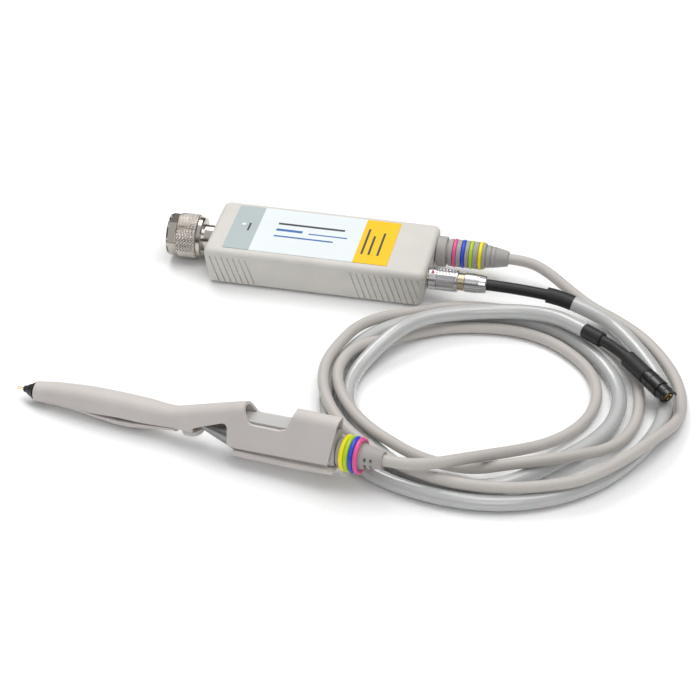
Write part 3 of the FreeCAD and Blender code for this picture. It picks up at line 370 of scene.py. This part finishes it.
SLEEVE_CENTRE = (-11.2, 10.4)
SLEEVE_SIDES = 160
SLEEVE_FRONT = [(50.6, 4.02), (50.6, 4.5), (50.7, 4.7), (50.9, 4.85)]
SLEEVE_REAR = [(63.4, 4.85), (63.6, 4.7), (63.7, 4.55), (63.7, 4.02)]
SLEEVE_SKIN = 4.8
SLEEVE_START = 51.0
SLEEVE_STEP = 0.175
SLEEVE_STATIONS = 71
SLEEVE_RADIUS = 4.85
GROOVE_START = 54.0
GROOVE_END = 62.4
GROOVE_PITCH = 1.4
GROOVE_DEPTH = 0.5
GROOVE_COLUMNS = 9
COLUMN_EDGE = 0.86
COLUMN_SLOPE = 0.1
ROW_EDGE = 0.38
ROW_SLOPE = 0.25


def sleeve_reach(along, radius, turn):
    """Short cross grooves in nine columns give the fingers a hold."""
    if radius < SLEEVE_SKIN or not GROOVE_START < along < GROOVE_END:
        return radius
    column = abs((turn * GROOVE_COLUMNS / (2 * math.pi)) % 1.0 - 0.5) * 2
    row = abs(((along - GROOVE_START) / GROOVE_PITCH) % 1.0 - 0.5) * 2
    across_cut = max(0.0, min(1.0, (COLUMN_EDGE - column) / COLUMN_SLOPE))
    along_cut = max(0.0, min(1.0, (row - ROW_EDGE) / ROW_SLOPE))
    return radius - GROOVE_DEPTH * across_cut * along_cut


sleeve_line = [(SLEEVE_START + SLEEVE_STEP * i, SLEEVE_RADIUS) for i in range(SLEEVE_STATIONS)]
ring_mesh("grip_sleeve", SLEEVE_FRONT + sleeve_line + SLEEVE_REAR, SLEEVE_SIDES, sleeve_reach, SLEEVE_CENTRE,
          chrome, "plug_sleeve", "power_plug_sleeve")

PRINT_TOP = 18.48
PRINT_THICKNESS = 0.03


def printed_bars(name, bars, material):
    """Plain printed rules on the label, a hair thick: (along, across, length, width)."""
    points = []
    faces = []
    for along, across, length, width in bars:
        first = len(points)
        for z in (PRINT_TOP - PRINT_THICKNESS, PRINT_TOP):
            for x, y in ((0, 0), (length, 0), (length, width), (0, width)):
                points.append(((along + x) * MM, (across + y) * MM, z * MM))
        for quad in ((0, 3, 2, 1), (4, 5, 6, 7), (0, 1, 5, 4), (1, 2, 6, 5), (2, 3, 7, 6), (3, 0, 4, 7)):
            faces.append(tuple(first + k for k in quad))
    return mesh_piece(name, points, faces, material, "probe", smooth=False)


dark_ink = surface("dark_ink", linear(58, 62, 68), rough=0.35, grain=3000, grain_depth=0.004)
blue_ink = surface("blue_ink", linear(46, 104, 176), rough=0.35, grain=3000, grain_depth=0.004)
printed_bars("label_rules_dark", [(-21.6, 5.4, 30.4, 1.5), (-34.5, -2.4, 0.9, 6.4), (19.2, -10.6, 1.0, 20.6),
                                  (22.4, -10.6, 1.0, 15.4), (26.4, -10.6, 1.0, 18.6)], dark_ink)
printed_bars("label_rules_blue", [(-21.6, 0.2, 12.0, 1.8), (-6.6, -0.2, 17.6, 0.9), (-21.6, -4.6, 27.0, 1.1)],
             blue_ink)

for name in list(nodes):
    mesh = nodes[name].data
    if name not in ("signal_cable", "power_cable"):
        for polygon in mesh.polygons:
            polygon.use_smooth = True
        mesh.set_sharp_from_angle(angle=math.radians(30))

# ---------------------------------------------------------------- stage, light

FLOOR_DROP = 0.0006
AIM = (0.03, -0.06, 0.0)
bpy.ops.mesh.primitive_plane_add(size=6.0, location=(0, 0, -FLOOR_DROP))
floor = bpy.context.object
floor.name = "bench_top"
bench = surface("bench_paper", (0.965, 0.967, 0.97), rough=0.75, grain=900, grain_depth=0.002, cloud=2,
                shade=0.99, specular=0.2)
floor.data.materials.append(bench)


def area_light(name, place, aim, size, power, colour=(1, 1, 1)):
    data = bpy.data.lights.new(name, "AREA")
    data.shape = "SQUARE"
    data.size = size
    data.energy = power
    data.color = colour
    light = bpy.data.objects.new(name, data)
    light.location = place
    light.rotation_euler = (Vector(aim) - Vector(place)).to_track_quat("-Z", "Y").to_euler()
    scene.collection.objects.link(light)


area_light("key", (-0.55, 0.75, 1.3), AIM, 0.8, 9.4, (1.0, 0.99, 0.975))
area_light("top", (0.35, 0.0, 1.5), AIM, 1.0, 8.6)
area_light("fill", (0.36, -1.4, 0.98), AIM, 0.8, 3.8, (0.97, 0.98, 1.0))
world = bpy.data.worlds.new("studio")
world.use_nodes = True
sky = world.node_tree
ramp = sky.nodes.new("ShaderNodeValToRGB")
ramp.color_ramp.elements[0].position = 0.0
ramp.color_ramp.elements[0].color = (0.03, 0.03, 0.033, 1.0)
ramp.color_ramp.elements[1].position = 0.6
ramp.color_ramp.elements[1].color = (1.0, 1.0, 1.0, 1.0)
low_sky = ramp.color_ramp.elements.new(0.28)
low_sky.color = (0.16, 0.16, 0.165, 1.0)
height = sky.nodes.new("ShaderNodeSeparateXYZ")
sky.links.new(sky.nodes.new("ShaderNodeTexCoord").outputs["Generated"], height.inputs[0])
sky.links.new(height.outputs["Z"], ramp.inputs["Fac"])
sky.links.new(ramp.outputs["Color"], sky.nodes["Background"].inputs["Color"])
sky.nodes["Background"].inputs["Strength"].default_value = 0.66
scene.world = world
scene.view_settings.view_transform = "Standard"
